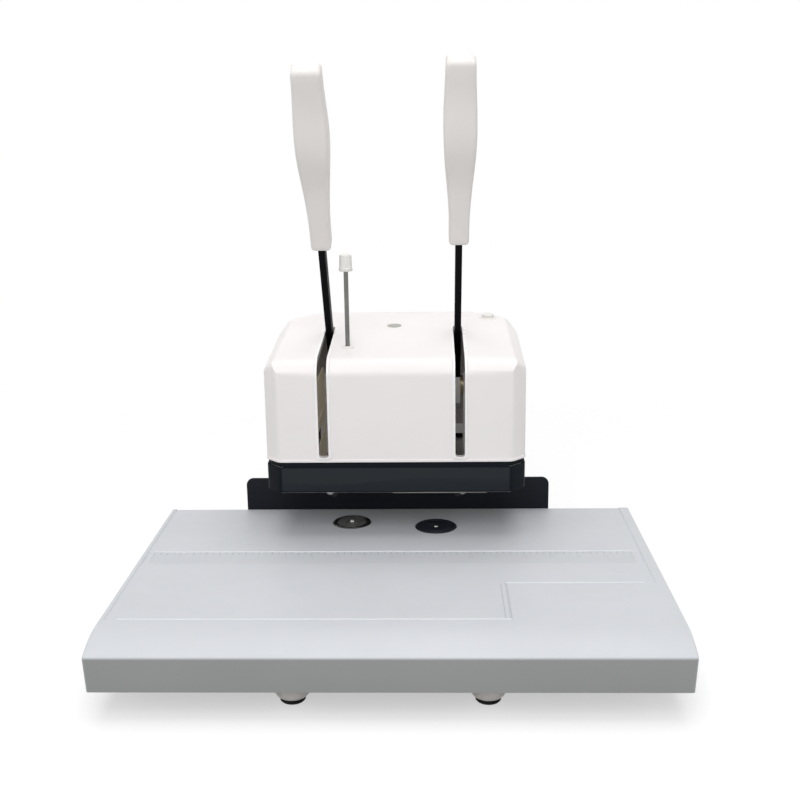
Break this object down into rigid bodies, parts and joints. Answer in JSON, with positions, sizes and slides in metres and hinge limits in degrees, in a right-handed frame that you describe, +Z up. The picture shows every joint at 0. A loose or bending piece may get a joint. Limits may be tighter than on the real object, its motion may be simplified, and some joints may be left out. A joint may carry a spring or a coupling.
{
  "type": "desk binding machine",
  "caption": "Desk machine with a wide ruled bed, a fence and a hooded head; one hand lever feeds a paper drill, the other presses a heated rivet die.",
  "frame": {"origin": "on the floor, under the middle of the whole machine", "axes": "+X to the user's right, +Y away from the user to the machine's back, +Z up"},
  "size_m": [0.384, 0.332, 0.4142],
  "materials": {
    "bed_grey": "fine matt grain",
    "foot_cream": "smooth matt",
    "foot_rubber": "matt",
    "structure_black": "satin black",
    "screw_steel": "zinc plated",
    "bright_steel": "ground",
    "machined_steel": "milled",
    "dark_steel": "blackened",
    "pad_brown": "worn matt",
    "anvil_black": "matt black",
    "fence_black": "satin black",
    "skirt_black": "gloss black",
    "hood_white": "fine satin",
    "trim_white": "satin",
    "grip_white": "satin",
    "lever_black": "satin black",
    "lens_grey": "smooth",
    "fitting_black": "satin",
    "board_green": "smooth",
    "gear_brass": "cut",
    "carriage_alloy": "cast and milled",
    "insulator_brown": "laminated",
    "rocker_black": "smooth"
  },
  "bodies": {
    "frame": {"bed_tray": "bed_grey", "base_plate": "structure_black", "foot_cups": "foot_cream", "foot_pads": "foot_rubber", "bed_screws": "screw_steel", "drill_seat": "dark_steel", "drill_pad": "pad_brown", "rivet_anvil": "anvil_black", "anvil_pin": "bright_steel", "anvil_posts": "machined_steel", "column_sides": "structure_black", "column_front": "structure_black", "column_cover": "structure_black", "fence_plate": "fence_black", "fence_screws": "structure_black", "head_plate": "machined_steel", "head_screws": "screw_steel", "stop_screws": "bright_steel", "skirt": "skirt_black", "hood": "hood_white", "hood_screws": "structure_black", "guide_rods": "bright_steel", "tie_plate": "machined_steel", "shaft_brackets": "machined_steel", "lever_shaft": "bright_steel", "ejector_bush": "trim_white", "indicator_lens": "lens_grey", "power_inlet": "fitting_black", "switch_bezel": "fitting_black", "control_board": "board_green", "return_spring_left": "screw_steel", "return_spring_right": "screw_steel"},
    "lever_left": {"lever_arm_left": "lever_black", "sector_gear_left": "gear_brass", "grip_front_left": "grip_white", "grip_back_left": "grip_white", "grip_screws_left": "screw_steel"},
    "lever_right": {"lever_arm_right": "lever_black", "sector_gear_right": "gear_brass", "grip_front_right": "grip_white", "grip_back_right": "grip_white", "grip_screws_right": "screw_steel"},
    "carriage_left": {"carriage_left": "carriage_alloy", "rack_left": "machined_steel", "motor_body": "machined_steel", "spindle_bearings": "bright_steel"},
    "drill_spindle": {"drill_spindle": "bright_steel", "spindle_gear": "gear_brass", "collet_nut": "dark_steel", "drill_bit": "bright_steel"},
    "motor_shaft": {"motor_pinion": "gear_brass"},
    "carriage_right": {"carriage_right": "carriage_alloy", "rack_right": "machined_steel", "heat_insulator": "insulator_brown", "heater_barrel": "dark_steel", "rivet_die": "gear_brass"},
    "ejector": {"ejector_rod": "bright_steel", "ejector_cap": "trim_white"},
    "push_button": {"push_button": "trim_white"},
    "power_rocker": {"power_rocker": "rocker_black"}
  },
  "joints": [
    {"name": "left_lever_swing", "type": "hinge", "parent": "frame", "child": "lever_left", "pos_m": [-0.0548, 0.128, 0.149], "axis": [1, 0, 0], "range_deg": [0, 69], "stiffness_Nm_per_rad": 0.25, "springref_deg": -126.05},
    {"name": "drill_feed", "type": "slide", "parent": "frame", "child": "carriage_left", "axis": [0, 0, 1], "range_m": [-0.03864, 0]},
    {"name": "drill_spin", "type": "hinge", "parent": "carriage_left", "child": "drill_spindle", "pos_m": [-0.0372, 0.057, 0.13504], "axis": [0, 0, 1], "continuous": true},
    {"name": "motor_spin", "type": "hinge", "parent": "carriage_left", "child": "motor_shaft", "pos_m": [-0.02356, 0.07163, 0.13504], "axis": [0, 0, 1], "continuous": true},
    {"name": "right_lever_swing", "type": "hinge", "parent": "frame", "child": "lever_right", "pos_m": [0.0498, 0.128, 0.149], "axis": [1, 0, 0], "range_deg": [0, 69], "stiffness_Nm_per_rad": 0.25, "springref_deg": -126.05},
    {"name": "rivet_feed", "type": "slide", "parent": "frame", "child": "carriage_right", "axis": [0, 0, 1], "range_m": [-0.03864, 0]},
    {"name": "ejector_push", "type": "slide", "parent": "frame", "child": "ejector", "axis": [0, 0, -1], "range_m": [0, 0.058]},
    {"name": "button_press", "type": "slide", "parent": "frame", "child": "push_button", "axis": [0, 0.1045, -0.9945], "range_m": [0, 0.00175], "stiffness_N_per_m": 400, "springref_m": -0.001},
    {"name": "rocker_tip", "type": "hinge", "parent": "frame", "child": "power_rocker", "pos_m": [-0.034, 0.162, 0.05675], "axis": [-1, 0, 0], "range_deg": [0, 14]}
  ],
  "couplings": [
    {"joint": "drill_feed", "follows": "left_lever_swing", "m_per_rad": -0.032},
    {"joint": "rivet_feed", "follows": "right_lever_swing", "m_per_rad": -0.032},
    {"joint": "motor_spin", "follows": "drill_spin", "ratio": -1.2222}
  ]
}
